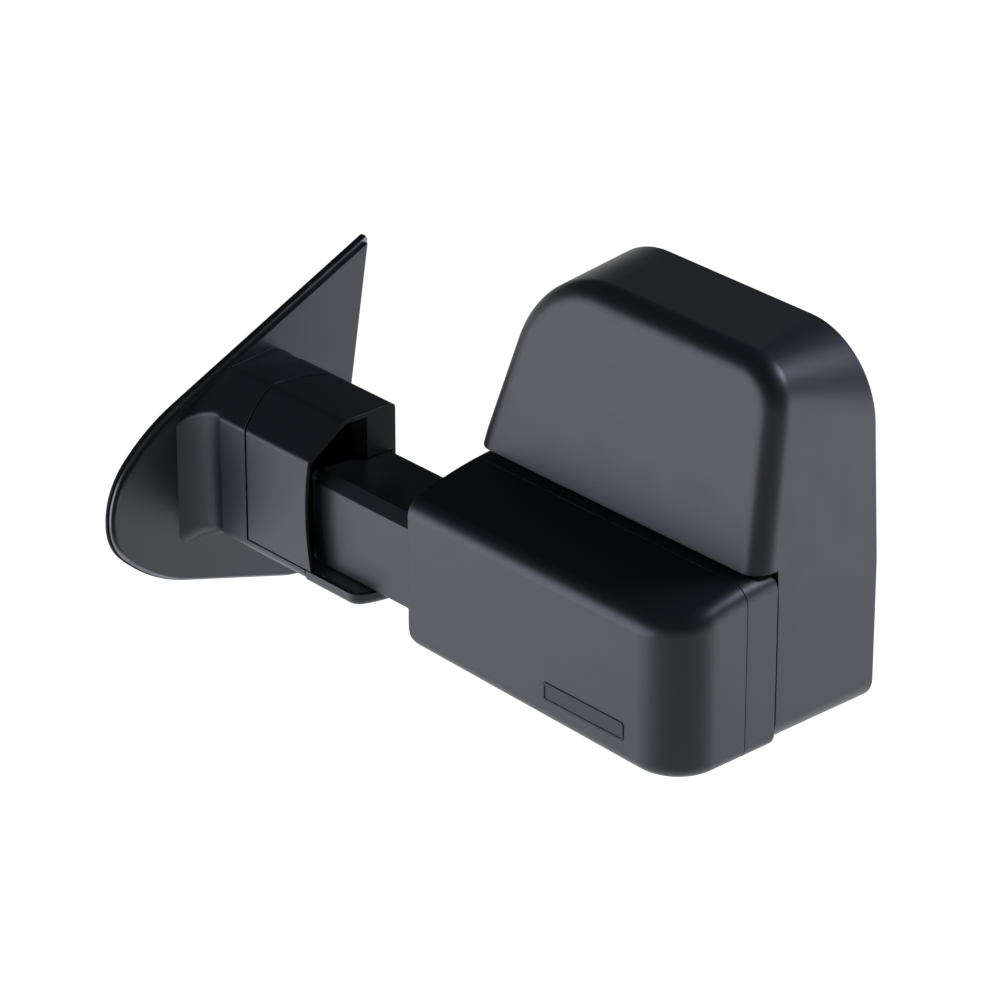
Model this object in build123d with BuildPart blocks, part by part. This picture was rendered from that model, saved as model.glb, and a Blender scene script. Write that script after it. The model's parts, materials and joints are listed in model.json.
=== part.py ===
from build123d import *
import os
from math import cos, hypot, pi, radians, sin, tan

# Extending towing mirror for the left side of a vehicle.
# X points outboard from the door, Y points rearward, Z points up; millimetres.
# The origin is the centre of the three mounting studs, on the door's face.
os.makedirs("parts", exist_ok=True)

# ---------------------------------------------------------------- driving dimensions
PIVOT_X = 112.0            # door face to the fold axis, which is vertical
WALL = 2.6                 # moulded cover thickness
GAP = 0.4                  # clearance between neighbouring covers

DRUM_R = 59.0              # inboard end of the turning knuckle, about the fold axis
DRUM_GAP = 1.3             # clearance round the drum
KNUCKLE_FRONT = -31.0
KNUCKLE_REAR = 40.3
KNUCKLE_TOP = 53.4
KNUCKLE_SLOPE_Z = 34.5     # top of the flat front face
KNUCKLE_SLOPE_Y = -1.8     # front of the flat top
KNUCKLE_BOTTOM = -41.6
RIM_X = PIVOT_X + 10.3     # outboard rim of the knuckle
FOOT_BOTTOM = -51.0
SHELF_TOP = -42.4          # floor that the knuckle turns on
NOSE_R = 59.6
NOSE_SPLIT_X = PIVOT_X + 4.6

ARM_FRONT = -18.6
ARM_REAR = 36.2
ARM_TOP = 20.9
ARM_BOTTOM = -41.2
ARM_WALL = 3.4
ARM_CHAMFER = 7.0
ARM_START_X = PIVOT_X + 2.0
ARM_END_X = PIVOT_X + 272.0

SHROUD_IN_X = PIVOT_X + 94.0
OUTBOARD_X = PIVOT_X + 330.2
SHROUD_FRONT = -23.0
SHROUD_REAR = 58.6
SHROUD_SPLIT_Y = 34.0
SHROUD_BOTTOM = -63.6      # at the inboard end
SHROUD_FALL = 1.0          # degrees, the underside falls outboard
SHROUD_TOP_FRONT = 35.0
SHROUD_TOP_REAR = 49.5
SHROUD_CROWN = (10.0, 44.0)  # a point on the arched top, in Y and Z
SHROUD_WALL = 2.2
SHROUD_CORNER = 33.0
SHROUD_TOP_ROUND = 12.0
SHROUD_BOTTOM_ROUND = 10.0
SHROUD_INBOARD_ROUND = 15.0

HEAD_REAR = 142.0
HEAD_IN_X = PIVOT_X + 64.5
HEAD_TOP = 171.2
HEAD_BOTTOM = -67.4
HEAD_LEAN_Z = 43.0         # the inboard side leans outboard above this height
HEAD_LEAN = 16.2           # degrees
END_LEAN_Z = 30.0          # the outboard side leans inboard above this height
END_LEAN = 3.2             # degrees
RAKE = 9.2                 # degrees, front face of the head
RAKE_Y = 42.0
RAKE_Z = 45.0
HEAD_LOW_FRONT = 60.0      # front of the head below the shroud's top
SHROUD_TO_HEAD = 1.2

GLASS_X = PIVOT_X + 206.0
PIVOT_Y = 119.0            # plane of both glass pivots
UPPER_Z = 84.0
LOWER_Z = -30.7
PLATE_Y = 125.5
PLATE_THICK = 3.0
GLASS_THICK = 2.6
GLASS_INSET = 11.0
DIVIDER_LOW = -1.0
DIVIDER_HIGH = 5.0
WINDOW_GAP = 4.0
JACK_REACH = 34.0

STUD_CIRCLE_R = 28.0
STUD_R = 3.0               # threaded end, outside the door face
SHANK_R = 3.6              # plain end, held in the bracket
STUD_ANGLES = (30, 150, 270)
SHAFT_R = 8.0


# ---------------------------------------------------------------- shared shapes
def save(builder, label):
    """Label a finished piece and write its file."""
    builder.part.label = label
    export_step(builder.part, "parts/" + label + ".step")


def slab(x_span, y_span, z_span):
    """A plain block between two X, two Y and two Z values, joined to the open part."""
    return add(span_box(x_span, y_span, z_span))


def span_box(x_span, y_span, z_span):
    """A loose block between two X, two Y and two Z values."""
    size = [high - low for low, high in (x_span, y_span, z_span)]
    centre = [(high + low) / 2 for low, high in (x_span, y_span, z_span)]
    return Pos(*centre) * Box(*size, mode=Mode.PRIVATE)


def upright(radius, z_low, z_high, x=PIVOT_X, y=0.0):
    """A loose vertical cylinder."""
    height = z_high - z_low
    return Pos(x, y, z_low + height / 2) * Cylinder(radius, height, mode=Mode.PRIVATE)


def along_y(radius, y_low, y_high, x, z):
    """A loose cylinder along Y."""
    length = y_high - y_low
    solid = Rot(90, 0, 0) * Cylinder(radius, length, mode=Mode.PRIVATE)
    return Pos(x, y_low + length / 2, z) * solid


def along_x(radius, x_low, x_high, y, z):
    """A loose cylinder along X."""
    length = x_high - x_low
    solid = Rot(0, 90, 0) * Cylinder(radius, length, mode=Mode.PRIVATE)
    return Pos(x_low + length / 2, y, z) * solid


def rounded_face(points, radii):
    """A face from corner points, each corner with its own radius."""
    with BuildLine(Plane.XY, mode=Mode.PRIVATE) as outline:
        FilletPolyline(*points, radius=radii, close=True)
    return Face(outline.wire())


def sketch_prism(face, plane, length):
    """A loose prism of a face drawn on a plane, pulled along the plane's normal."""
    with BuildPart(mode=Mode.PRIVATE) as prism:
        with BuildSketch(plane):
            add(face)
        extrude(amount=length)
    return prism.part


# ---------------------------------------------------------------- door side: sail outline
SAIL_CORNERS = [
    (121.5, 106), (-61, 25), (-96.7, -8.8), (-96.7, -49.5), (-63.5, -83.5), (52, -119.5), (85, -120),
]
SAIL_RADII = [2.5, 130, 55, 38, 115, 60, 14]


def sail_face(inset):
    """The door sail's outline in Y and Z, pulled in all round by inset."""
    face = rounded_face(SAIL_CORNERS, SAIL_RADII)
    if inset == 0:
        return face
    with BuildSketch(Plane.XY, mode=Mode.PRIVATE) as shrunk:
        add(face)
        offset(amount=-inset, kind=Kind.INTERSECTION, mode=Mode.REPLACE)
    return shrunk.sketch


def stud_places():
    """Y and Z of each mounting stud."""
    return [(STUD_CIRCLE_R * cos(radians(a)), STUD_CIRCLE_R * sin(radians(a))) for a in STUD_ANGLES]


GASKET_X = (0.0, 2.2)
PLATE_X = (2.4, 4.4)
PANEL_X = (4.6, 7.6)
CABLE_YZ = (4.0, -57.0)
CABLE_HOLE_R = 9.0

with BuildPart() as door_gasket:
    add(sketch_prism(sail_face(0), Plane.YZ, GASKET_X[1]))
    with BuildSketch(Plane.YZ.offset(-1)):
        with Locations(*stud_places()):
            Circle(SHANK_R + 0.6)
        with Locations(CABLE_YZ):
            Circle(CABLE_HOLE_R + 0.4)
    extrude(amount=GASKET_X[1] + 2, mode=Mode.SUBTRACT)
save(door_gasket, "door_gasket")

with BuildPart() as base_plate:
    add(sketch_prism(sail_face(0.9), Plane.YZ.offset(PLATE_X[0]), PLATE_X[1] - PLATE_X[0]))
    with BuildSketch(Plane.YZ.offset(PLATE_X[0])):
        with Locations(*stud_places()):
            Circle(SHANK_R + 0.2)
        with Locations(CABLE_YZ):
            Circle(CABLE_HOLE_R + 0.4)
    extrude(amount=PLATE_X[1] - PLATE_X[0], mode=Mode.SUBTRACT)
save(base_plate, "base_plate")

# ---------------------------------------------------------------- foot cover, from sail to drum
# Cross-sections of the foot in Y and Z: front bottom, front top, top front, top rear, rear bottom.
FOOT_ROUND = [8, 4, 12, 4, 8]
FOOT_BODY = [(-31, -51), (-31, 34.5), (-1.8, 53.4), (40.3, 53.4), (40.3, -51)]
FOOT_SECTIONS = [
    (4.6, [(-50, -64), (-49, 20), (-4, 46), (56, 52), (60, -84)], [10, 4, 13, 18, 8]),
    (8.5, [(-42.5, -60.8), (-42, 25), (-3.5, 49), (48, 52.5), (50, -70.4)], [8, 4, 12, 13, 8]),
    (14.0, [(-37.5, -56.5), (-37, 29.5), (-2.5, 51.5), (44, 53), (44, -58.5)], [8, 4, 12, 8, 8]),
    (22.0, [(-32.4, -52.5), (-32.4, 33.5), (-1.8, 53), (41, 53.2), (40.5, -52.5)], [8, 4, 12, 5, 8]),
    (36.0, FOOT_BODY, FOOT_ROUND),
]


def pulled_in(corners, inset):
    """Foot corners moved towards the section's middle by inset in Y and in Z."""
    middle_y = (corners[0][0] + corners[-1][0]) / 2
    result = []
    for index, (y, z) in enumerate(corners):
        step_y = inset if y < middle_y else -inset
        step_z = inset if index in (0, len(corners) - 1) else -inset
        result.append((y + step_y, z + step_z))
    return result


def foot_form(inset, end_x):
    """The foot's outer or inner form: a flare that grows out of the sail, then a straight beam."""
    with BuildPart(mode=Mode.PRIVATE) as form:
        for x, corners, rounding in FOOT_SECTIONS:
            radii = [max(radius - inset, 1.0) for radius in rounding]
            with BuildSketch(Plane.YZ.offset(x)):
                add(rounded_face(pulled_in(corners, inset), radii))
        loft()
        with BuildSketch(Plane.YZ.offset(FOOT_SECTIONS[-1][0])):
            add(rounded_face(pulled_in(FOOT_BODY, inset), radii))
        extrude(amount=end_x - FOOT_SECTIONS[-1][0])
    return form.part


with BuildPart() as foot_cavity:
    add(foot_form(WALL, PIVOT_X - 36))
    add(upright(DRUM_R + DRUM_GAP + WALL, -100, 100), mode=Mode.SUBTRACT)
    slab((45, NOSE_SPLIT_X + 1), (KNUCKLE_FRONT + WALL, KNUCKLE_REAR - WALL),
         (FOOT_BOTTOM + WALL, SHELF_TOP + 1))

with BuildPart() as foot_cover:
    add(sketch_prism(sail_face(3.2), Plane.YZ.offset(PANEL_X[0]), PANEL_X[1] - PANEL_X[0]))
    add(foot_form(0, NOSE_SPLIT_X))
    add(upright(DRUM_R + DRUM_GAP, SHELF_TOP, 100), mode=Mode.SUBTRACT)
    add(foot_cavity.part, mode=Mode.SUBTRACT)
save(foot_cover, "foot_cover")


def cradle_plan(radius, front, rear, z_low, z_high, x_from, x_to):
    """A disc about the fold axis, cut off at the front, the rear and two X values."""
    disc = upright(radius, z_low, z_high)
    return disc & span_box((x_from, x_to), (front, rear), (z_low, z_high))


with BuildPart() as nose_cap:
    add(cradle_plan(NOSE_R, KNUCKLE_FRONT + 0.4, KNUCKLE_REAR - 0.4, FOOT_BOTTOM, SHELF_TOP,
                    NOSE_SPLIT_X + GAP, PIVOT_X + 100))
    fillet(nose_cap.edges().filter_by(Axis.Z).sort_by(Axis.X)[-2:], 10)
    fillet(nose_cap.faces().sort_by(Axis.Z)[0].edges().filter_by(Plane.YZ, reverse=True), 5)
    add(cradle_plan(NOSE_R - WALL, KNUCKLE_FRONT + WALL + 0.4, KNUCKLE_REAR - WALL - 0.4, FOOT_BOTTOM + WALL,
                    SHELF_TOP + 1, NOSE_SPLIT_X + GAP, PIVOT_X + 100), mode=Mode.SUBTRACT)
save(nose_cap, "nose_cap")

# ---------------------------------------------------------------- pivot bracket and mounting studs
BRACKET_FLANGE = [(-35, 7), (-25, 17), (-16, 23), (37, 23), (37, -43), (-35, -43)]
BRACKET_CLEAR = 0.5
DISC_R = NOSE_R - WALL - BRACKET_CLEAR
DISC_LOW = FOOT_BOTTOM + WALL + BRACKET_CLEAR + 0.3

with BuildPart() as pivot_bracket:
    with BuildSketch(Plane.YZ.offset(PANEL_X[0])):
        with BuildLine():
            Polyline(*BRACKET_FLANGE, close=True)
        make_face()
    extrude(amount=6)
    slab((PANEL_X[0], PIVOT_X - 40), (-20, 30), (-46, 22))
    add(span_box((PANEL_X[0], PIVOT_X - 40), (-14, 24), (-38, 15)), mode=Mode.SUBTRACT)
    add(upright(DRUM_R + DRUM_GAP + WALL + BRACKET_CLEAR, SHELF_TOP - 1, 100), mode=Mode.SUBTRACT)
    slab((30, PIVOT_X - 20), (-22, 32), (DISC_LOW, SHELF_TOP - 0.2))
    add(cradle_plan(DISC_R, KNUCKLE_FRONT + WALL + 1, KNUCKLE_REAR - WALL - 1, DISC_LOW, SHELF_TOP - 0.2,
                    PIVOT_X - 62, PIVOT_X + 62))
    add(upright(SHAFT_R, -100, 100), mode=Mode.SUBTRACT)
    with BuildSketch(Plane.YZ.offset(PANEL_X[0] - 1)):
        with Locations(*stud_places()):
            Circle(SHANK_R)
    extrude(amount=7.5, mode=Mode.SUBTRACT)
save(pivot_bracket, "pivot_bracket")

STUD_END_X = -19.0
with BuildPart() as mounting_studs:
    for y, z in stud_places():
        add(along_x(STUD_R, STUD_END_X, 0, y, z))
        add(along_x(SHANK_R, 0, PANEL_X[0] + 6, y, z))
save(mounting_studs, "mounting_studs")

with BuildPart() as cable_grommet:
    with BuildSketch(Plane.YZ.offset(-5)):
        with Locations(CABLE_YZ):
            Circle(CABLE_HOLE_R)
    extrude(amount=12)
    with BuildSketch(Plane.YZ.offset(PLATE_X[1] + 0.2)):
        with Locations(CABLE_YZ):
            Circle(CABLE_HOLE_R + 1)
    extrude(amount=1.6)
    with BuildSketch(Plane.YZ.offset(-6)):
        with Locations(CABLE_YZ):
            Circle(5.0)
    extrude(amount=14, mode=Mode.SUBTRACT)
save(cable_grommet, "cable_grommet")

# ---------------------------------------------------------------- fold pivot hardware
# Everything stands inside the hub: bush below, shoulder, friction washer, spring, retainer and nut.
THRUST_TOP = ARM_BOTTOM - 0.2
HUB_TOP = 12.2
HUB_R = 15.0
BUSH_R = 12.5
SHOULDER = (-20.0, -17.0)
WASHER_THICK = 1.6
RETAINER_LOW = 7.0
RETAINER_THICK = 2.0
NUT_THICK = 5.0
NUT_CORNER_R = 11.8
SHAFT_TOP = RETAINER_LOW + RETAINER_THICK + NUT_THICK + 1.5

with BuildPart() as pivot_shaft:
    add(upright(SHAFT_R, DISC_LOW, SHAFT_TOP))
    add(upright(SHAFT_R - 3, DISC_LOW - 1, SHAFT_TOP + 1), mode=Mode.SUBTRACT)
save(pivot_shaft, "pivot_shaft")


def washer(label, inner, outer, z_low, z_high):
    """A flat ring or bush round the fold axis."""
    with BuildPart() as ring:
        add(upright(outer, z_low, z_high))
        add(upright(inner, z_low - 1, z_high + 1), mode=Mode.SUBTRACT)
    save(ring, label)


SPRING_SEAT = SHOULDER[1] + WASHER_THICK + 0.2
washer("thrust_washer", SHAFT_R + 0.3, HUB_R, SHELF_TOP, THRUST_TOP - 0.1)
washer("pivot_bush", SHAFT_R + 0.05, BUSH_R, THRUST_TOP + 0.2, SHOULDER[0] - 0.1)
washer("friction_washer", SHAFT_R + 0.3, BUSH_R - 0.3, SHOULDER[1] + 0.1, SPRING_SEAT - 0.1)
washer("spring_retainer", SHAFT_R + 0.1, BUSH_R - 0.3, RETAINER_LOW, RETAINER_LOW + RETAINER_THICK)

with BuildPart() as pivot_nut:
    with BuildSketch(Plane.XY.offset(RETAINER_LOW + RETAINER_THICK + 0.1)):
        with Locations((PIVOT_X, 0)):
            RegularPolygon(NUT_CORNER_R, 6)
            Circle(SHAFT_R + 0.05, mode=Mode.SUBTRACT)
    extrude(amount=NUT_THICK)
save(pivot_nut, "pivot_nut")

SPRING_R = 10.4
SPRING_WIRE_R = 1.6
SPRING_TURNS = 4
SPRING_LOW = SPRING_SEAT + SPRING_WIRE_R + 0.1
SPRING_HEIGHT = RETAINER_LOW - 2 * SPRING_WIRE_R - 0.2 - SPRING_SEAT
with BuildPart() as fold_spring:
    with BuildLine(Plane.XY.offset(SPRING_LOW)) as coil:
        Helix(SPRING_HEIGHT / SPRING_TURNS, SPRING_HEIGHT, SPRING_R, center=(PIVOT_X, 0, 0))
    with BuildSketch(Plane(coil.line @ 0, z_dir=coil.line % 0)):
        Circle(SPRING_WIRE_R)
    sweep(is_frenet=True)
save(fold_spring, "fold_spring")

# ---------------------------------------------------------------- knuckle
KNUCKLE_ROUND = [1.5, 4, 12, 4, 1.5]
RIM_SCALLOP_R = 190.0
RIM_SCALLOP_DEPTH = 4.0
RECESS_REAR = 17.0         # the rear of the outboard end is closed from here back
RECESS_BACK_X = (PIVOT_X - 18.4, PIVOT_X - 16.0)


def knuckle_form(inset, top_inset, x_end):
    """Drum-ended block of the knuckle, pulled in by inset on its sides and top_inset on top."""
    corners = [
        (KNUCKLE_FRONT + inset, KNUCKLE_BOTTOM),
        (KNUCKLE_FRONT + inset, KNUCKLE_SLOPE_Z - top_inset / 2),
        (KNUCKLE_SLOPE_Y + inset / 2, KNUCKLE_TOP - top_inset),
        (KNUCKLE_REAR - inset, KNUCKLE_TOP - top_inset),
        (KNUCKLE_REAR - inset, KNUCKLE_BOTTOM),
    ]
    inner = [max(radius - inset, 1.0) for radius in KNUCKLE_ROUND]
    radii = [0.5 if index in (0, 4) else radius for index, radius in enumerate(inner)]
    block = sketch_prism(rounded_face(corners, radii), Plane.YZ.offset(PIVOT_X - 80), x_end - PIVOT_X + 80)
    return block & upright(DRUM_R - inset, KNUCKLE_BOTTOM - 5, KNUCKLE_TOP + 5)


with BuildPart() as knuckle_hollow:
    add(knuckle_form(WALL, WALL, RIM_X + 5))
    slab((PIVOT_X - 80, RIM_X + 5), (KNUCKLE_FRONT + WALL, KNUCKLE_REAR - WALL),
         (KNUCKLE_BOTTOM - 5, KNUCKLE_BOTTOM + 2))
    add(span_box((PIVOT_X - 5, RIM_X + 6), (RECESS_REAR, 60), (ARM_TOP + 0.8, 60)), mode=Mode.SUBTRACT)
    add(upright(DRUM_R + 20, -100, 100) - upright(DRUM_R - WALL, -100, 100), mode=Mode.SUBTRACT)
    add(span_box(RECESS_BACK_X, (KNUCKLE_FRONT, KNUCKLE_REAR), (-100, 100)), mode=Mode.SUBTRACT)

with BuildPart() as knuckle_cover:
    add(knuckle_form(0, 0, RIM_X))
    scallop_x = RIM_X + RIM_SCALLOP_R - RIM_SCALLOP_DEPTH
    add(along_y(RIM_SCALLOP_R, -80, ARM_FRONT, scallop_x, -2), mode=Mode.SUBTRACT)
    add(knuckle_hollow.part, mode=Mode.SUBTRACT)
save(knuckle_cover, "knuckle_cover")

PLUG_CLEAR = 0.2
PLUG_END_X = PIVOT_X + 60


def arm_section(inset):
    """Arm cross-section in Y and Z, with its sloped front top edge."""
    front = ARM_FRONT + inset
    rear = ARM_REAR - inset
    top = ARM_TOP - inset
    bottom = ARM_BOTTOM + inset
    cut = ARM_CHAMFER - inset * (2 - 2 ** 0.5)
    with BuildSketch(Plane.XY, mode=Mode.PRIVATE) as section:
        with BuildLine():
            Polyline((front, bottom), (front, top - cut), (front + cut, top), (rear, top), (rear, bottom),
                     close=True)
        make_face()
    return section.sketch


with BuildPart() as knuckle_hub:
    add(sketch_prism(arm_section(ARM_WALL + PLUG_CLEAR), Plane.YZ.offset(PIVOT_X), PLUG_END_X - PIVOT_X))
    add(upright(HUB_R, THRUST_TOP + 0.2, HUB_TOP))
    add(upright(BUSH_R + 0.02, -100, SHOULDER[0]), mode=Mode.SUBTRACT)
    add(upright(SHAFT_R + 0.3, -100, 100), mode=Mode.SUBTRACT)
    add(upright(BUSH_R + 0.1, SHOULDER[1], 100), mode=Mode.SUBTRACT)
    add(span_box((PIVOT_X + 22, PLUG_END_X + 1), (-10, 26), (-30, 9)), mode=Mode.SUBTRACT)
save(knuckle_hub, "knuckle_hub")

with BuildPart() as arm_tube:
    add(sketch_prism(arm_section(0), Plane.YZ.offset(ARM_START_X), ARM_END_X - ARM_START_X))
    fillet(arm_tube.edges().filter_by(Axis.X), 1.2)
    add(sketch_prism(arm_section(ARM_WALL), Plane.YZ.offset(ARM_START_X - 1), ARM_END_X - ARM_START_X + 2),
        mode=Mode.SUBTRACT)
    add(upright(HUB_R + 0.3, -100, 0), mode=Mode.SUBTRACT)
save(arm_tube, "arm_tube")

CAP_THICK = 3.0
with BuildPart() as arm_end_cap:
    add(sketch_prism(arm_section(ARM_WALL + 0.1), Plane.YZ.offset(ARM_END_X - 14), 14.2))
    add(sketch_prism(arm_section(0), Plane.YZ.offset(ARM_END_X + 0.2), CAP_THICK))
    add(span_box((ARM_END_X - 15, ARM_END_X - 1), (-10, 28), (-33, 12)), mode=Mode.SUBTRACT)
save(arm_end_cap, "arm_end_cap")

# ---------------------------------------------------------------- slide carriage and its pads
CARRIAGE_X = (SHROUD_IN_X + 8, SHROUD_IN_X + 126)
PAD_THICK = 1.4
RUN = 0.3                  # running clearance on the arm
RAIL_TOP = ARM_TOP + RUN + PAD_THICK
RAIL_BOTTOM = ARM_BOTTOM - RUN - PAD_THICK
RAIL_REAR = ARM_REAR + RUN + PAD_THICK
CARRIAGE_WALL = 4.0
CARRIAGE_FRONT = -20.2
BRACKET_Y = 66.0
BRACKET_X = (CARRIAGE_X[0] + 40, CARRIAGE_X[1] - 6)
BRACKET_Z = (-26, 16)

with BuildPart() as slide_carriage:
    slab(CARRIAGE_X, (CARRIAGE_FRONT, RAIL_REAR + CARRIAGE_WALL),
         (RAIL_BOTTOM - CARRIAGE_WALL, RAIL_TOP + CARRIAGE_WALL))
    add(span_box((CARRIAGE_X[0] - 1, CARRIAGE_X[1] + 1), (CARRIAGE_FRONT - 1, RAIL_REAR),
                 (RAIL_BOTTOM, RAIL_TOP)),
        mode=Mode.SUBTRACT)
    slab(BRACKET_X, (RAIL_REAR + CARRIAGE_WALL - 0.5, BRACKET_Y), BRACKET_Z)
    for x in (BRACKET_X[0] + 14, BRACKET_X[1] - 14):
        add(span_box((x - 9, x + 9), (RAIL_REAR + CARRIAGE_WALL, BRACKET_Y - 5),
                     (BRACKET_Z[0] - 1, BRACKET_Z[1] + 1)),
            mode=Mode.SUBTRACT)
save(slide_carriage, "slide_carriage")

PAD_X = [(CARRIAGE_X[0] + 2, CARRIAGE_X[0] + 24), (CARRIAGE_X[1] - 24, CARRIAGE_X[1] - 2)]
with BuildPart() as wear_pads:
    for span in PAD_X:
        slab(span, (0, 28), (ARM_TOP + RUN, RAIL_TOP))
        slab(span, (-14, 28), (RAIL_BOTTOM, ARM_BOTTOM - RUN))
        slab(span, (ARM_REAR + RUN, RAIL_REAR), (-30, 8))
save(wear_pads, "wear_pads")

with BuildPart() as glide_strips:
    for z_span in ((-36, -24), (-6, 6)):
        slab((SHROUD_IN_X + 5, SHROUD_IN_X + 190),
             (SHROUD_FRONT + SHROUD_WALL + 0.1, ARM_FRONT - RUN), z_span)
save(glide_strips, "glide_strips")


# ---------------------------------------------------------------- shroud, in two covers
def shroud_form(inset):
    """The shroud's outer or inner form: rounded in plan, with its top rising rearward."""
    front = SHROUD_FRONT + inset
    inboard = SHROUD_IN_X + inset
    outboard = OUTBOARD_X - inset
    rear = SHROUD_REAR + 4
    with BuildPart(mode=Mode.PRIVATE) as form:
        with BuildSketch(Plane.XY.offset(SHROUD_BOTTOM - 30)) as plan:
            with BuildLine():
                Polyline((inboard, front), (outboard, front), (outboard, rear), (inboard, rear), close=True)
            make_face()
            fillet(plan.vertices().sort_by(Axis.Y)[:2].sort_by(Axis.X)[-1], SHROUD_CORNER - inset)
        extrude(amount=160)
        with BuildSketch(Plane.YZ.offset(SHROUD_IN_X - 50)):
            with BuildLine():
                Polyline((front, SHROUD_TOP_FRONT - inset), (front, SHROUD_BOTTOM - 40),
                         (SHROUD_REAR, SHROUD_BOTTOM - 40), (SHROUD_REAR, SHROUD_TOP_REAR - inset))
                ThreePointArc((front, SHROUD_TOP_FRONT - inset), (SHROUD_CROWN[0], SHROUD_CROWN[1] - inset),
                              (SHROUD_REAR, SHROUD_TOP_REAR - inset))
            make_face()
        extrude(amount=400, mode=Mode.INTERSECT)
        fall = radians(SHROUD_FALL)
        underside = Plane(origin=(SHROUD_IN_X, 0, SHROUD_BOTTOM + inset), x_dir=(cos(fall), 0, -sin(fall)),
                          z_dir=(sin(fall), 0, cos(fall)))
        split(bisect_by=underside, keep=Keep.TOP)
        top_edges = form.faces().sort_by(Axis.Z)[-1].edges()
        fillet(top_edges.sort_by(Axis.Y)[:-1].sort_by(Axis.X)[1:], SHROUD_TOP_ROUND - inset)
        bottom_edges = form.faces().sort_by(Axis.Z)[0].edges()
        fillet(bottom_edges.sort_by(Axis.Y)[:-1].sort_by(Axis.X)[1:], SHROUD_BOTTOM_ROUND - inset)
        radius = SHROUD_INBOARD_ROUND - inset
        low = SHROUD_BOTTOM + inset - radius * tan(fall)
        corner = span_box((inboard - 1, inboard + radius), (-100, 100), (low - 2, low + radius))
        add(corner - along_y(radius, -101, 101, inboard + radius, low + radius), mode=Mode.SUBTRACT)
    return form.part


shroud_outer = shroud_form(0)
shroud_inner = shroud_form(SHROUD_WALL)
ARM_DOOR = span_box((SHROUD_IN_X - 5, SHROUD_IN_X + 12), (ARM_FRONT - 0.8, ARM_REAR + 1.0),
                    (ARM_BOTTOM - 1.0, ARM_TOP + 1.0))

BADGE_CENTRE = (PIVOT_X + 251.0, -44.2)
BADGE_SIZE = (70.0, 12.5)
BADGE_DEEP = 0.8


def badge_face(grow):
    """The badge's outline: a plain long panel with rounded ends."""
    with BuildSketch(Plane.XY, mode=Mode.PRIVATE) as sketch:
        with Locations(BADGE_CENTRE):
            RectangleRounded(BADGE_SIZE[0] + grow, BADGE_SIZE[1] + grow, 2.5)
    return sketch.sketch


with BuildPart() as shroud_front:
    add(shroud_outer)
    add(shroud_inner, mode=Mode.SUBTRACT)
    add(span_box((0, 600), (SHROUD_SPLIT_Y - 0.25, 100), (-200, 200)), mode=Mode.SUBTRACT)
    add(ARM_DOOR, mode=Mode.SUBTRACT)
    with BuildSketch(Plane.XZ.offset(-SHROUD_FRONT - BADGE_DEEP)):
        add(badge_face(0.4))
    extrude(amount=5, mode=Mode.SUBTRACT)
save(shroud_front, "shroud_front")

with BuildPart() as shroud_rear:
    add(shroud_outer)
    add(shroud_inner, mode=Mode.SUBTRACT)
    add(span_box((0, 600), (-100, SHROUD_SPLIT_Y + 0.25), (-200, 200)), mode=Mode.SUBTRACT)
    add(ARM_DOOR, mode=Mode.SUBTRACT)
save(shroud_rear, "shroud_rear")

with BuildPart() as badge_plate:
    with BuildSketch(Plane.XZ.offset(-SHROUD_FRONT - BADGE_DEEP)):
        add(badge_face(0))
    extrude(amount=BADGE_DEEP + 0.5)
    with BuildSketch(Plane.XZ.offset(-SHROUD_FRONT)):
        with Locations(BADGE_CENTRE):
            RectangleRounded(BADGE_SIZE[0] - 3, BADGE_SIZE[1] - 3, 1.5)
    extrude(amount=3, mode=Mode.SUBTRACT)
save(badge_plate, "badge_plate")

# ---------------------------------------------------------------- head housing
HEAD_ROUND = [24, 150, 62, 55, 150, 17]
TOP_CORNER_GROWTH = 0.16   # the inboard top corner's radius grows forward
OUTER_CORNER_LOSS = 0.34   # the outboard top corner's radius shrinks forward
HEAD_EDGE = 14.0
FORM_FRONT_Y = 20.0
DRAFT = 0.164              # the inboard side narrows forward
END_DRAFT = 0.006          # the outboard side, the same way
TOP_RISE = 0.08            # the top rises forward


def head_corners(forward):
    """Corner points of the head's outline in X and Z, at a distance forward of the rear rim."""
    side = HEAD_IN_X + forward * DRAFT
    outboard = OUTBOARD_X - forward * END_DRAFT
    top = HEAD_TOP + forward * TOP_RISE
    lean_run = (top - HEAD_LEAN_Z) * tan(radians(HEAD_LEAN))
    end_run = (top - END_LEAN_Z) * tan(radians(END_LEAN))
    return [(side, HEAD_BOTTOM), (side, HEAD_LEAN_Z), (side + lean_run, top), (outboard - end_run, top),
            (outboard, END_LEAN_Z), (outboard, HEAD_BOTTOM)]


def head_face(forward, inset):
    """The head's outline face at a distance forward of the rim, pulled in by inset."""
    radii = list(HEAD_ROUND)
    radii[2] += forward * TOP_CORNER_GROWTH
    radii[3] -= forward * OUTER_CORNER_LOSS
    face = rounded_face(head_corners(forward), radii)
    if inset == 0:
        return face
    with BuildSketch(Plane.XY, mode=Mode.PRIVATE) as shrunk:
        add(face)
        offset(amount=-inset, mode=Mode.REPLACE)
    return shrunk.sketch


def head_form(inset, rear_extra):
    """The head's outer or inner form: a tapered block with a raked, rounded front face."""
    rake_plane = Plane(origin=(0, RAKE_Y + inset, RAKE_Z), x_dir=(1, 0, 0),
                       z_dir=(0, -cos(radians(RAKE)), sin(radians(RAKE))))
    with BuildPart(mode=Mode.PRIVATE) as form:
        with BuildSketch(Plane.XZ.offset(-HEAD_REAR - rear_extra)):
            add(head_face(-rear_extra, inset))
        with BuildSketch(Plane.XZ.offset(-FORM_FRONT_Y)):
            add(head_face(HEAD_REAR - FORM_FRONT_Y, inset))
        loft(ruled=True)
        split(bisect_by=rake_plane, keep=Keep.BOTTOM)
        fillet(form.faces().sort_by(Axis.Y)[0].edges(), HEAD_EDGE - inset)
    return form.part


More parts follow.
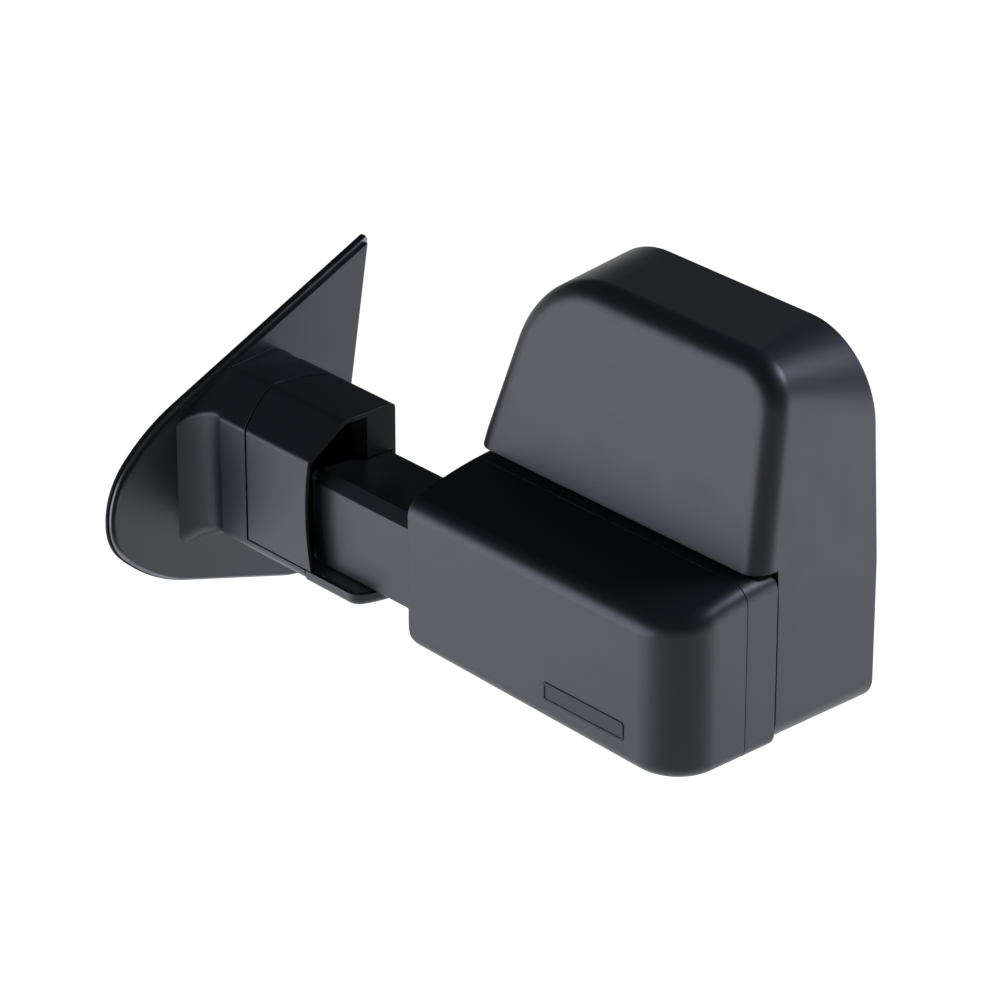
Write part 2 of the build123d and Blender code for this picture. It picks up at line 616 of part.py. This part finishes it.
def under_head(grow):
    """The space in front of and below the head that the shroud fills, enlarged by grow."""
    rear = HEAD_LOW_FRONT + grow
    rise = SHROUD_TO_HEAD + grow
    with BuildSketch(Plane.YZ, mode=Mode.PRIVATE) as side:
        with BuildLine():
            Polyline((SHROUD_FRONT, SHROUD_TOP_FRONT + rise), (SHROUD_FRONT, -90), (rear, -90),
                     (rear, SHROUD_TOP_REAR + rise))
            ThreePointArc((SHROUD_FRONT, SHROUD_TOP_FRONT + rise), (SHROUD_CROWN[0], SHROUD_CROWN[1] + rise),
                          (rear, SHROUD_TOP_REAR + rise))
        make_face()
    return extrude(side.sketch, amount=600, mode=Mode.PRIVATE)


with BuildPart() as head_housing:
    add(head_form(0, 0))
    add(under_head(0), mode=Mode.SUBTRACT)
    add(head_form(WALL, 3) - under_head(WALL), mode=Mode.SUBTRACT)
    add(span_box((BRACKET_X[0] - 3, BRACKET_X[1] + 3), (50, 70), (BRACKET_Z[0] - 3, BRACKET_Z[1] + 3)),
        mode=Mode.SUBTRACT)
save(head_housing, "head_housing")

# ---------------------------------------------------------------- bezel round the two glasses
BEZEL_Y = (HEAD_REAR - 4.7, HEAD_REAR - 0.3)
BEZEL_OUT = 3.9
BEZEL_IN = GLASS_INSET - WINDOW_GAP


def window_face(inset, z_low, z_high):
    """The part of the head's outline, pulled in by inset, between two heights."""
    with BuildSketch(Plane.XY, mode=Mode.PRIVATE) as part_face:
        add(head_face(0, inset))
        with Locations(((HEAD_IN_X + OUTBOARD_X) / 2, (z_low + z_high) / 2)):
            RectangleRounded(400, z_high - z_low, 6, mode=Mode.INTERSECT)
        sharp = part_face.vertices().group_by(Axis.Y)
        fillet(sharp[0] if z_low > HEAD_BOTTOM else sharp[-1], 5)
    return part_face.sketch


HIGH = HEAD_TOP + 50
LOW = HEAD_BOTTOM - 50
with BuildPart() as glass_bezel:
    add(sketch_prism(head_face(0, BEZEL_OUT), Plane.XZ.offset(-BEZEL_Y[1]), BEZEL_Y[1] - BEZEL_Y[0]))
    for z_low, z_high in ((DIVIDER_HIGH, HIGH), (LOW, DIVIDER_LOW)):
        add(sketch_prism(window_face(BEZEL_IN, z_low, z_high), Plane.XZ.offset(-BEZEL_Y[1] - 1), 8),
            mode=Mode.SUBTRACT)
save(glass_bezel, "glass_bezel")

# ---------------------------------------------------------------- frame inside the head
FRAME_Y = (BRACKET_Y + 0.2, BRACKET_Y + 4.0)
FRAME_X = (PIVOT_X + 134, PIVOT_X + 296)
FRAME_Z = (-52, 138)
SCREW_R = 2.5
FRAME_SCREWS = [(x, z) for x in (BRACKET_X[0] + 8, BRACKET_X[1] - 8) for z in (-6, 10)]

with BuildPart() as head_frame:
    slab(FRAME_X, FRAME_Y, FRAME_Z)
    fillet(head_frame.edges().filter_by(Axis.Y), 10)
    for x in (FRAME_X[0] + 4, FRAME_X[1] - 12):
        add(span_box((x - 2, x + 2), (FRAME_Y[1] - 1, FRAME_Y[1] + 9), (FRAME_Z[0] + 12, FRAME_Z[1] - 12)))
    for x, z in FRAME_SCREWS:
        add(along_y(SCREW_R, 50, 90, x, z), mode=Mode.SUBTRACT)
save(head_frame, "head_frame")

with BuildPart() as frame_screws:
    for x, z in FRAME_SCREWS:
        add(along_y(SCREW_R - 0.1, BRACKET_Y + 0.1, FRAME_Y[1] + 0.1, x, z))
        add(along_y(SCREW_R + 2, FRAME_Y[1] + 0.1, FRAME_Y[1] + 3.1, x, z))
save(frame_screws, "frame_screws")

# ---------------------------------------------------------------- glass actuator
ACT_HALF = 46.0
ACT_Y = (FRAME_Y[1] + 0.2, PIVOT_Y - 14.0)
ACT_COVER_Y = (PIVOT_Y - 13.8, PIVOT_Y - 10.0)
ACT_WALL = 2.5
LUG_THICK = 5.0
JACK_R = 4.0
JACK_BALL_R = 5.0
PIN_R = 2.0

PAN_JACK = (GLASS_X + JACK_REACH, UPPER_Z)
TILT_JACK = (GLASS_X, UPPER_Z - JACK_REACH)

with BuildPart() as actuator_case:
    slab((GLASS_X - ACT_HALF, GLASS_X + ACT_HALF), ACT_Y, (UPPER_Z - ACT_HALF, UPPER_Z + ACT_HALF))
    fillet(actuator_case.edges().filter_by(Axis.Y), 12)
    add(span_box((GLASS_X - ACT_HALF + ACT_WALL, GLASS_X + ACT_HALF - ACT_WALL),
                 (ACT_Y[0] + ACT_WALL, ACT_Y[1] + 1),
                 (UPPER_Z - ACT_HALF + 12, UPPER_Z + ACT_HALF - 12)), mode=Mode.SUBTRACT)
    add(span_box((GLASS_X - ACT_HALF + 12, GLASS_X + ACT_HALF - 12), (ACT_Y[0] + ACT_WALL, ACT_Y[1] + 1),
                 (UPPER_Z - ACT_HALF + ACT_WALL, UPPER_Z + ACT_HALF - ACT_WALL)), mode=Mode.SUBTRACT)
save(actuator_case, "actuator_case")


def gimbal_lugs_z(centre_z, inner, outer, y_from):
    """Two lugs above and below a glass pivot, each with a vertical pin bore."""
    lugs = []
    for side in (-1, 1):
        z_span = sorted((centre_z + side * inner, centre_z + side * outer))
        lugs.append(span_box((GLASS_X - 4, GLASS_X + 4), (y_from, PIVOT_Y + 3.2), z_span))
    return lugs


UPPER_RING = (11.0, 15.0)
LOWER_RING = (5.5, 8.5)
UPPER_LUG = (15.6, 20.6)
LOWER_LUG = (9.1, 13.1)
PIN_CLEAR = 0.06
LOWER_PIN_R = 1.5

with BuildPart() as actuator_cover:
    slab((GLASS_X - ACT_HALF, GLASS_X + ACT_HALF), ACT_COVER_Y, (UPPER_Z - ACT_HALF, UPPER_Z + ACT_HALF))
    fillet(actuator_cover.edges().filter_by(Axis.Y), 12)
    for lug in gimbal_lugs_z(UPPER_Z, *UPPER_LUG, ACT_COVER_Y[0] + 1):
        add(lug)
    add(Pos(GLASS_X, PIVOT_Y, UPPER_Z) * Cylinder(PIN_R + PIN_CLEAR, 60, mode=Mode.PRIVATE),
        mode=Mode.SUBTRACT)
    for x, z in (PAN_JACK, TILT_JACK):
        add(along_y(JACK_R + 0.35, 95, 120, x, z), mode=Mode.SUBTRACT)
save(actuator_cover, "actuator_cover")

MOTOR_R = 10.0
MOTOR_Y = 86.0
with BuildPart() as pan_motor:
    add(along_x(MOTOR_R, GLASS_X - 12, GLASS_X + 20, MOTOR_Y, UPPER_Z + 28))
    add(along_x(1.2, GLASS_X + 19, GLASS_X + 30, MOTOR_Y, UPPER_Z + 28))
save(pan_motor, "pan_motor")

with BuildPart() as tilt_motor:
    add(upright(MOTOR_R, UPPER_Z - 22, UPPER_Z + 10, GLASS_X - 28, MOTOR_Y))
    add(upright(1.2, UPPER_Z - 33, UPPER_Z - 21, GLASS_X - 28, MOTOR_Y))
save(tilt_motor, "tilt_motor")


def jackscrew(label, place):
    """A threaded rod with a ball end that pushes one side of the glass plate."""
    x, z = place
    with BuildPart() as rod:
        add(along_y(JACK_R, 84, PIVOT_Y, x, z))
        add(Pos(x, PIVOT_Y, z) * Sphere(JACK_BALL_R, mode=Mode.PRIVATE))
    save(rod, label)


jackscrew("pan_jackscrew", PAN_JACK)
jackscrew("tilt_jackscrew", TILT_JACK)


def gimbal_ring(label, centre_z, ring, pin_r, pin_reach):
    """A cross joint: a ring with four pins, two upright and two level."""
    inner, outer = ring
    with BuildPart() as cross:
        add(along_y(outer, PIVOT_Y - 2.8, PIVOT_Y + 2.8, GLASS_X, centre_z))
        add(along_y(inner, PIVOT_Y - 4, PIVOT_Y + 4, GLASS_X, centre_z), mode=Mode.SUBTRACT)
        for side in (-1, 1):
            near, far = side * (inner + 1), side * pin_reach
            z_span = sorted((centre_z + near, centre_z + far))
            add(upright(pin_r, *z_span, GLASS_X, PIVOT_Y))
            x_span = sorted((GLASS_X + near, GLASS_X + far))
            add(along_x(pin_r, *x_span, PIVOT_Y, centre_z))
    save(cross, label)


gimbal_ring("upper_gimbal", UPPER_Z, UPPER_RING, PIN_R, UPPER_LUG[1] + 0.4)
gimbal_ring("lower_gimbal", LOWER_Z, LOWER_RING, LOWER_PIN_R, LOWER_LUG[1] + 0.4)

with BuildPart() as lower_bracket:
    slab((GLASS_X - 17, GLASS_X + 17), (FRAME_Y[1] + 0.2, FRAME_Y[1] + 4.2), (LOWER_Z - 15, LOWER_Z + 15))
    slab((GLASS_X - 7, GLASS_X + 7), (FRAME_Y[1] + 3, ACT_COVER_Y[1]), (LOWER_Z - 15, LOWER_Z + 15))
    for lug in gimbal_lugs_z(LOWER_Z, *LOWER_LUG, ACT_COVER_Y[1] - 1):
        add(lug)
    add(Pos(GLASS_X, PIVOT_Y, LOWER_Z) * Cylinder(LOWER_PIN_R + PIN_CLEAR, 60, mode=Mode.PRIVATE),
        mode=Mode.SUBTRACT)
save(lower_bracket, "lower_glass_bracket")


# ---------------------------------------------------------------- glass plates and glasses
def plate_lugs(centre_z, lug, pin_r):
    """Two lugs left and right of a glass pivot, each with a level pin bore."""
    inner, outer = lug
    with BuildPart(mode=Mode.PRIVATE) as pair:
        for side in (-1, 1):
            x_span = sorted((GLASS_X + side * inner, GLASS_X + side * outer))
            slab(x_span, (PIVOT_Y - 3.2, PLATE_Y + 1), (centre_z - 4, centre_z + 4))
        add(along_x(pin_r + PIN_CLEAR, GLASS_X - 30, GLASS_X + 30, PIVOT_Y, centre_z), mode=Mode.SUBTRACT)
    return pair.part


UPPER_GLASS_Z = (DIVIDER_HIGH + WINDOW_GAP, HIGH)
LOWER_GLASS_Z = (LOW, DIVIDER_LOW - WINDOW_GAP)
CUP_OUT = JACK_BALL_R + 2.6
CUP_IN = JACK_BALL_R + 1.0

with BuildPart() as upper_glass_plate:
    face = window_face(GLASS_INSET, *UPPER_GLASS_Z)
    add(sketch_prism(face, Plane.XZ.offset(-PLATE_Y - PLATE_THICK), PLATE_THICK))
    add(plate_lugs(UPPER_Z, UPPER_LUG, PIN_R))
    for x, z in (PAN_JACK, TILT_JACK):
        add(along_y(CUP_OUT, PIVOT_Y - 3, PLATE_Y + 1, x, z))
        add(along_y(CUP_IN, PIVOT_Y - 5, PLATE_Y + 1.4, x, z), mode=Mode.SUBTRACT)
save(upper_glass_plate, "upper_glass_plate")

GLASS_Y = PLATE_Y + PLATE_THICK + 0.2
with BuildPart() as upper_glass:
    add(sketch_prism(window_face(GLASS_INSET + 0.8, *UPPER_GLASS_Z), Plane.XZ.offset(-GLASS_Y - GLASS_THICK),
                     GLASS_THICK))
save(upper_glass, "upper_glass")

with BuildPart() as lower_glass_plate:
    face = window_face(GLASS_INSET, *LOWER_GLASS_Z)
    add(sketch_prism(face, Plane.XZ.offset(-PLATE_Y - PLATE_THICK), PLATE_THICK))
    add(plate_lugs(LOWER_Z, LOWER_LUG, LOWER_PIN_R))
save(lower_glass_plate, "lower_glass_plate")

DOME_R = 1200.0
DOME_TOP = GLASS_Y + 7.6
with BuildPart() as lower_glass:
    face = window_face(GLASS_INSET + 0.8, *LOWER_GLASS_Z)
    add(sketch_prism(face, Plane.XZ.offset(-GLASS_Y - 9), 9))
    with BuildPart(mode=Mode.PRIVATE) as dome:
        Sphere(DOME_R)
    add(Pos(GLASS_X, DOME_TOP - DOME_R, LOWER_Z) * dome.part, mode=Mode.INTERSECT)
save(lower_glass, "lower_glass")
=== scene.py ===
"""Looks for an extending towing mirror: finishes, threaded studs, floor, light and camera."""

import json
from math import cos, pi, radians, sin

import bpy
from mathutils import Matrix, Vector


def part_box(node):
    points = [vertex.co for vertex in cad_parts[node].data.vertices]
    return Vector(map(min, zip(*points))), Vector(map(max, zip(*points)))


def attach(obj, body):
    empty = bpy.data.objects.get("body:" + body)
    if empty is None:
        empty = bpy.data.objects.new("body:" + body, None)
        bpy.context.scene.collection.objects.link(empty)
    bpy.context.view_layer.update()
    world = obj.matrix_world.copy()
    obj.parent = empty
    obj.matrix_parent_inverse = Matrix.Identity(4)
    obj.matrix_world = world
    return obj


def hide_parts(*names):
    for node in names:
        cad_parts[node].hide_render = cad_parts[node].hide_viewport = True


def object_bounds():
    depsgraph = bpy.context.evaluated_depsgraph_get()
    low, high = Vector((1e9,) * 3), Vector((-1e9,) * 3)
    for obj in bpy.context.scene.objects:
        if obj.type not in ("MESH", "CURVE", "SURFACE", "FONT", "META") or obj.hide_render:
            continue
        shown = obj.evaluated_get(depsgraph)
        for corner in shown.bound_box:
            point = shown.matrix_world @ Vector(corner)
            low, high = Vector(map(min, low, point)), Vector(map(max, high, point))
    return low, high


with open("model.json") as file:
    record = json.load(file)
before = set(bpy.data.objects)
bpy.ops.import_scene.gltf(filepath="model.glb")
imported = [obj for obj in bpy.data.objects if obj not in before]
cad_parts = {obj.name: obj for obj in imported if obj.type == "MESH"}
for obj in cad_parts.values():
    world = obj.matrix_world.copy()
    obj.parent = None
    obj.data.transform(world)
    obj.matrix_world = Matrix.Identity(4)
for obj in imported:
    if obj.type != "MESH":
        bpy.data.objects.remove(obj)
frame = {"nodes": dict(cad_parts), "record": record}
size_at_start = [list(corner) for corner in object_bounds()]
nodes = frame["nodes"]
record = frame["record"]


# ---------------------------------------------------------------- materials
EDGE_RADIUS = 0.0007
# Painted highlight: edge colours are lightened by this factor.
EDGE_HIGHLIGHT_TINT = 2.2
GLOSS_PATCH_SCALE = 55


def node_set(name):
    """A fresh material with its shader, and short helpers to add and join nodes."""
    material = bpy.data.materials.new(name)
    material.use_nodes = True
    tree = material.node_tree
    shader = tree.nodes["Principled BSDF"]

    def new(kind, **inputs):
        made = tree.nodes.new(kind)
        for key, value in inputs.items():
            made.inputs[key.replace("_", " ")].default_value = value
        return made

    return material, tree, shader, new


def noise(tree, new, where, scale, detail, rough=0.55):
    """A noise pattern laid out in the object's own space, in metres."""
    made = new("ShaderNodeTexNoise", Scale=scale, Detail=detail, Roughness=rough)
    tree.links.new(where.outputs["Object"], made.inputs["Vector"])
    return made


def spread(tree, new, source, low, high, start=0.3, end=0.7):
    """A pattern's middle range mapped on to a low and a high value."""
    made = new("ShaderNodeMapRange")
    made.inputs["From Min"].default_value = start
    made.inputs["From Max"].default_value = end
    made.inputs["To Min"].default_value = low
    made.inputs["To Max"].default_value = high
    tree.links.new(source, made.inputs["Value"])
    return made.outputs["Result"]


def tint(colour, factor):
    """A colour made lighter or darker by a factor."""
    return [min(channel * factor, 1.0) for channel in colour[:3]] + [1.0]


def finish(name, colour, rough, metal=0.0, specular=0.5, grain=(900, 0.00003), blotch=(14, 0.10),
           rough_spread=0.05, edge_light=0.35, stretch=None):
    """A worked surface: cloudy colour, uneven gloss, a fine grain, and rounded edges with a painted highlight
    that lightens the colour along them.

    grain is a scale and a depth in metres, and blotch is a scale and a strength.
    """
    material, tree, shader, new = node_set(name)
    where = new("ShaderNodeTexCoord")
    cloud = noise(tree, new, where, blotch[0], 5)
    blend = new("ShaderNodeMix")
    blend.data_type = "RGBA"
    blend.inputs["A"].default_value = tint(colour, 1 - blotch[1])
    blend.inputs["B"].default_value = tint(colour, 1 + blotch[1])
    tree.links.new(spread(tree, new, cloud.outputs["Fac"], 0, 1), blend.inputs["Factor"])

    rounded = new("ShaderNodeBevel")
    rounded.samples = 4
    rounded.inputs["Radius"].default_value = EDGE_RADIUS
    plain = new("ShaderNodeNewGeometry")
    across = new("ShaderNodeVectorMath")
    across.operation = "DOT_PRODUCT"
    tree.links.new(rounded.outputs["Normal"], across.inputs[0])
    tree.links.new(plain.outputs["Normal"], across.inputs[1])
    # Painted highlight: the base colour is lightened on rounded edges, where the bevelled normal turns away
    # from the face normal; edge_light sets how far.
    on_edge = spread(tree, new, across.outputs["Value"], edge_light, 0, 0.80, 0.995)
    edge_highlight = new("ShaderNodeMix")
    edge_highlight.data_type = "RGBA"
    tree.links.new(on_edge, edge_highlight.inputs["Factor"])
    tree.links.new(blend.outputs["Result"], edge_highlight.inputs["A"])
    edge_highlight.inputs["B"].default_value = tint(colour, EDGE_HIGHLIGHT_TINT)
    tree.links.new(edge_highlight.outputs["Result"], shader.inputs["Base Color"])

    patch = noise(tree, new, where, GLOSS_PATCH_SCALE, 4)
    tree.links.new(spread(tree, new, patch.outputs["Fac"], rough - rough_spread, rough + rough_spread),
                   shader.inputs["Roughness"])

    fine = noise(tree, new, where, grain[0], 3)
    if stretch:
        long_way = new("ShaderNodeMapping")
        long_way.inputs["Scale"].default_value = stretch
        tree.links.new(where.outputs["Object"], long_way.inputs["Vector"])
        tree.links.new(long_way.outputs["Vector"], fine.inputs["Vector"])
    bump = new("ShaderNodeBump", Strength=1.0, Distance=grain[1])
    tree.links.new(fine.outputs["Fac"], bump.inputs["Height"])
    tree.links.new(rounded.outputs["Normal"], bump.inputs["Normal"])
    tree.links.new(bump.outputs["Normal"], shader.inputs["Normal"])
    shader.inputs["Metallic"].default_value = metal
    shader.inputs["Specular IOR Level"].default_value = specular
    return material


def mirror_finish(name, colour, rough):
    """Silvered glass: a bright reflector with faint dust and an even, very small ripple."""
    material, tree, shader, new = node_set(name)
    where = new("ShaderNodeTexCoord")
    dust = noise(tree, new, where, 240, 6, 0.7)
    dusty = spread(tree, new, dust.outputs["Fac"], rough, rough + 0.05, 0.5, 0.8)
    tree.links.new(dusty, shader.inputs["Roughness"])
    ripple = noise(tree, new, where, 9, 1)
    bump = new("ShaderNodeBump", Strength=0.3, Distance=0.00004)
    tree.links.new(ripple.outputs["Fac"], bump.inputs["Height"])
    tree.links.new(bump.outputs["Normal"], shader.inputs["Normal"])
    shader.inputs["Base Color"].default_value = colour
    shader.inputs["Metallic"].default_value = 1.0
    return material


FINISHES = {
    "shell_plastic": finish("shell_plastic", (0.0175, 0.0190, 0.0225), 0.41, specular=0.62,
                            grain=(1300, 0.00006), blotch=(9, 0.05), rough_spread=0.015),
    "arm_coat": finish("arm_coat", (0.020, 0.0215, 0.0245), 0.41, specular=0.62,
                       grain=(1700, 0.00004), blotch=(11, 0.05), rough_spread=0.015),
    "trim_black": finish("trim_black", (0.008, 0.008, 0.009), 0.38, grain=(1500, 0.00002)),
    "seal_rubber": finish("seal_rubber", (0.006, 0.006, 0.0065), 0.72, specular=0.3,
                          grain=(700, 0.00005), edge_light=0.1),
    "plate_metal": finish("plate_metal", (0.20, 0.205, 0.21), 0.36, metal=0.9,
                          grain=(600, 0.00002), blotch=(40, 0.2)),
    "cast_alloy": finish("cast_alloy", (0.42, 0.42, 0.43), 0.52, metal=1.0,
                         grain=(450, 0.00012), blotch=(30, 0.15)),
    "steel": finish("steel", (0.52, 0.51, 0.49), 0.30, metal=1.0, grain=(900, 0.00002), blotch=(60, 0.15)),
    "spring_steel": finish("spring_steel", (0.16, 0.155, 0.15), 0.34, metal=1.0, grain=(700, 0.00003)),
    "bush_bronze": finish("bush_bronze", (0.50, 0.30, 0.13), 0.42, metal=1.0,
                          grain=(1200, 0.00004), blotch=(80, 0.2)),
    "black_nylon": finish("black_nylon", (0.016, 0.016, 0.017), 0.55, grain=(800, 0.00006), blotch=(25, 0.2)),
    "white_acetal": finish("white_acetal", (0.66, 0.65, 0.60), 0.38, grain=(900, 0.00002),
                           blotch=(30, 0.05), edge_light=0.15),
    "motor_can": finish("motor_can", (0.45, 0.45, 0.46), 0.28, metal=1.0,
                        grain=(260, 0.00002), stretch=(0.05, 1, 1)),
    "mirror_glass": mirror_finish("mirror_glass", (0.80, 0.83, 0.85, 1), 0.02),
}

slots = {part["node"]: part["material_slot"] for part in record["subparts"]}
for name, obj in nodes.items():
    obj.data.materials.clear()
    obj.data.materials.append(FINISHES[slots[name]])


# ---------------------------------------------------------------- meshes made here
def shape(name, points, faces, finish_name, body, smooth=30):
    """A closed mesh from points and faces that rides on a CAD body."""
    mesh = bpy.data.meshes.new(name)
    mesh.from_pydata(points, [], faces)
    mesh.validate()
    mesh.update()
    made = bpy.data.objects.new(name, mesh)
    bpy.context.scene.collection.objects.link(made)
    made.data.materials.append(FINISHES[finish_name])
    mesh.polygons.foreach_set("use_smooth", [True] * len(mesh.polygons))
    mesh.set_sharp_from_angle(angle=radians(smooth))
    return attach(made, body)


def threaded_stud(name, y, z, x_tip, x_root, radius, shank_radius, pitch, body):
    """A stud along X: chamfered tip, a helical V thread out to the door face, and a wider plain shank."""
    around = 28
    rows_per_turn = 8
    depth = 0.61 * pitch
    length = -0.0006 - x_tip
    count = int(length / pitch * rows_per_turn)
    rings = []
    for row in range(count + 1):
        x = x_tip + length * row / count
        ring = []
        for step in range(around):
            angle = 2 * pi * step / around
            phase = ((x - x_tip) / pitch + angle / (2 * pi)) % 1.0
            cut = depth * (1 - abs(2 * phase - 1))
            ends = min((x - x_tip) / (1.2 * pitch), (x_tip + length - x) / (1.2 * pitch), 1.0)
            taper = max(0.0, 1 - (x - x_tip) / (0.9 * pitch)) * depth
            reach = min(radius - cut * max(ends, 0.0), radius - taper)
            ring.append((x, y + reach * cos(angle), z + reach * sin(angle)))
        rings.append(ring)
    for x, reach in ((-0.0002, radius), (0.0, shank_radius), (x_root, shank_radius)):
        turns = [2 * pi * step / around for step in range(around)]
        rings.append([(x, y + reach * cos(angle), z + reach * sin(angle)) for angle in turns])
    points = [point for ring in rings for point in ring]
    faces = []
    for row in range(len(rings) - 1):
        for step in range(around):
            after = (step + 1) % around
            low = row * around
            faces.append((low + step, low + after, low + around + after, low + around + step))
    faces.append(tuple(reversed(range(around))))
    last = (len(rings) - 1) * around
    faces.append(tuple(last + step for step in range(around)))
    return shape(name, points, [tuple(reversed(face)) for face in faces], "steel", body, smooth=40)


STUD_CIRCLE_R = 0.028
STUD_ANGLES = (30, 150, 270)
STUD_PITCH = 0.001
STUD_R = 0.003
SHANK_R = 0.0036
stud_low, stud_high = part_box("mounting_studs")
for number, degrees in enumerate(STUD_ANGLES, 1):
    place = (STUD_CIRCLE_R * cos(radians(degrees)), STUD_CIRCLE_R * sin(radians(degrees)))
    threaded_stud(f"threaded_stud_{number}", *place, stud_low.x, stud_high.x, STUD_R, SHANK_R,
                               STUD_PITCH, "foot")
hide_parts("mounting_studs")

# ---------------------------------------------------------------- floor, light and camera
middle = [(low + high) / 2 for low, high in zip(*size_at_start)]
FLOOR_DROP = 0.80
FLOOR_Z = size_at_start[0][2] - FLOOR_DROP
FLOOR_HALF = 16.0
floor_mesh = bpy.data.meshes.new("floor")
corners = [(x * FLOOR_HALF, y * FLOOR_HALF, FLOOR_Z) for x, y in ((-1, -1), (1, -1), (1, 1), (-1, 1))]
floor_mesh.from_pydata(corners, [], [(0, 1, 2, 3)])
floor = bpy.data.objects.new("floor", floor_mesh)
bpy.context.scene.collection.objects.link(floor)
floor_material, floor_tree, floor_shader, floor_new = node_set("floor")
floor_shader.inputs["Base Color"].default_value = (0.80, 0.80, 0.80, 1)
floor_shader.inputs["Roughness"].default_value = 0.9
floor_shader.inputs["Specular IOR Level"].default_value = 0.1
floor_shader.inputs["Emission Color"].default_value = (1, 1, 1, 1)
spot = floor_new("ShaderNodeTexCoord")
toward_back = floor_new("ShaderNodeVectorMath")
toward_back.operation = "DOT_PRODUCT"
toward_back.inputs[1].default_value = (-0.741, 0.671, 0)
floor_tree.links.new(spot.outputs["Object"], toward_back.inputs[0])
# Painted light: the floor glows instead of a lamp. It is dimmer on the camera's side and brighter beyond the
# object, and this glow lights the object from below.
glow = floor_new("ShaderNodeMapRange")
glow.interpolation_type = "SMOOTHSTEP"
glow.inputs["From Min"].default_value = -0.9
glow.inputs["From Max"].default_value = 0.45
glow.inputs["To Min"].default_value = 0.38
glow.inputs["To Max"].default_value = 1.0
floor_tree.links.new(toward_back.outputs["Value"], glow.inputs["Value"])
floor_tree.links.new(glow.outputs["Result"], floor_shader.inputs["Emission Strength"])
floor.data.materials.append(floor_material)

world = bpy.data.worlds.new("studio")
bpy.context.scene.world = world
world.use_nodes = True
sky = world.node_tree
toward = sky.nodes.new("ShaderNodeTexCoord")
split = sky.nodes.new("ShaderNodeSeparateXYZ")
ramp = sky.nodes.new("ShaderNodeValToRGB")
sky.links.new(toward.outputs["Generated"], split.inputs["Vector"])
sky.links.new(split.outputs["Z"], ramp.inputs["Fac"])
ramp.color_ramp.elements[0].position = 0.0
ramp.color_ramp.elements[0].color = (0.30, 0.31, 0.33, 1)
ramp.color_ramp.elements[1].position = 0.30
ramp.color_ramp.elements[1].color = (0.020, 0.021, 0.024, 1)
sky.links.new(ramp.outputs["Color"], sky.nodes["Background"].inputs["Color"])
sky.nodes["Background"].inputs["Strength"].default_value = 1.0


LAMP_COLOUR = (0.84, 0.93, 1.15)


def softbox(name, direction, distance, width, height, radiance):
    """A soft rectangular lamp, set off from the object's middle and aimed back at it."""
    lamp = bpy.data.lights.new(name, "AREA")
    lamp.shape = "RECTANGLE"
    lamp.size = width
    lamp.size_y = height
    lamp.energy = radiance * pi * width * height
    lamp.color = LAMP_COLOUR
    holder = bpy.data.objects.new(name, lamp)
    bpy.context.scene.collection.objects.link(holder)
    away = Vector(direction).normalized()
    holder.location = Vector(middle) + away * distance
    holder.rotation_mode = "QUATERNION"
    holder.rotation_quaternion = (-away).to_track_quat("-Z", "Y")
    holder.visible_camera = False
    return holder


softbox("front_light", (-0.56, -0.80, -0.10), 1.7, 1.1, 1.3, 2.05)
softbox("end_light", (0.80, 0.58, -0.10), 1.7, 0.85, 1.3, 1.75)
softbox("corner_light", (0.44, 0.60, 0.68), 1.8, 0.6, 0.45, 14.0)
softbox("ridge_light", (-0.16, -0.96, -0.10), 1.8, 0.22, 1.0, 6.0)

AIM = Vector((0.112, 0, 0))
CAMERA_DISTANCE = 3.2112
ASIDE = 0.10207
RAISED = -0.004875
CAMERA_BACK = Vector((0.66193, -0.59868, 0.45098))
CAMERA_RIGHT = Vector((0.67081, 0.74163, 0.0))
CAMERA_UP = CAMERA_BACK.cross(CAMERA_RIGHT).normalized()
camera_data = bpy.data.cameras.new("camera")
camera_data.sensor_width = 36.0
camera_data.lens = 185.0
camera = bpy.data.objects.new("camera", camera_data)
bpy.context.scene.collection.objects.link(camera)
camera.matrix_world = Matrix((
    (CAMERA_RIGHT.x, CAMERA_UP.x, CAMERA_BACK.x, 0),
    (CAMERA_RIGHT.y, CAMERA_UP.y, CAMERA_BACK.y, 0),
    (CAMERA_RIGHT.z, CAMERA_UP.z, CAMERA_BACK.z, 0),
    (0, 0, 0, 1),
))
camera.location = AIM + CAMERA_DISTANCE * CAMERA_BACK + ASIDE * CAMERA_RIGHT + RAISED * CAMERA_UP
bpy.context.scene.camera = camera
bpy.context.scene.view_settings.view_transform = "Standard"
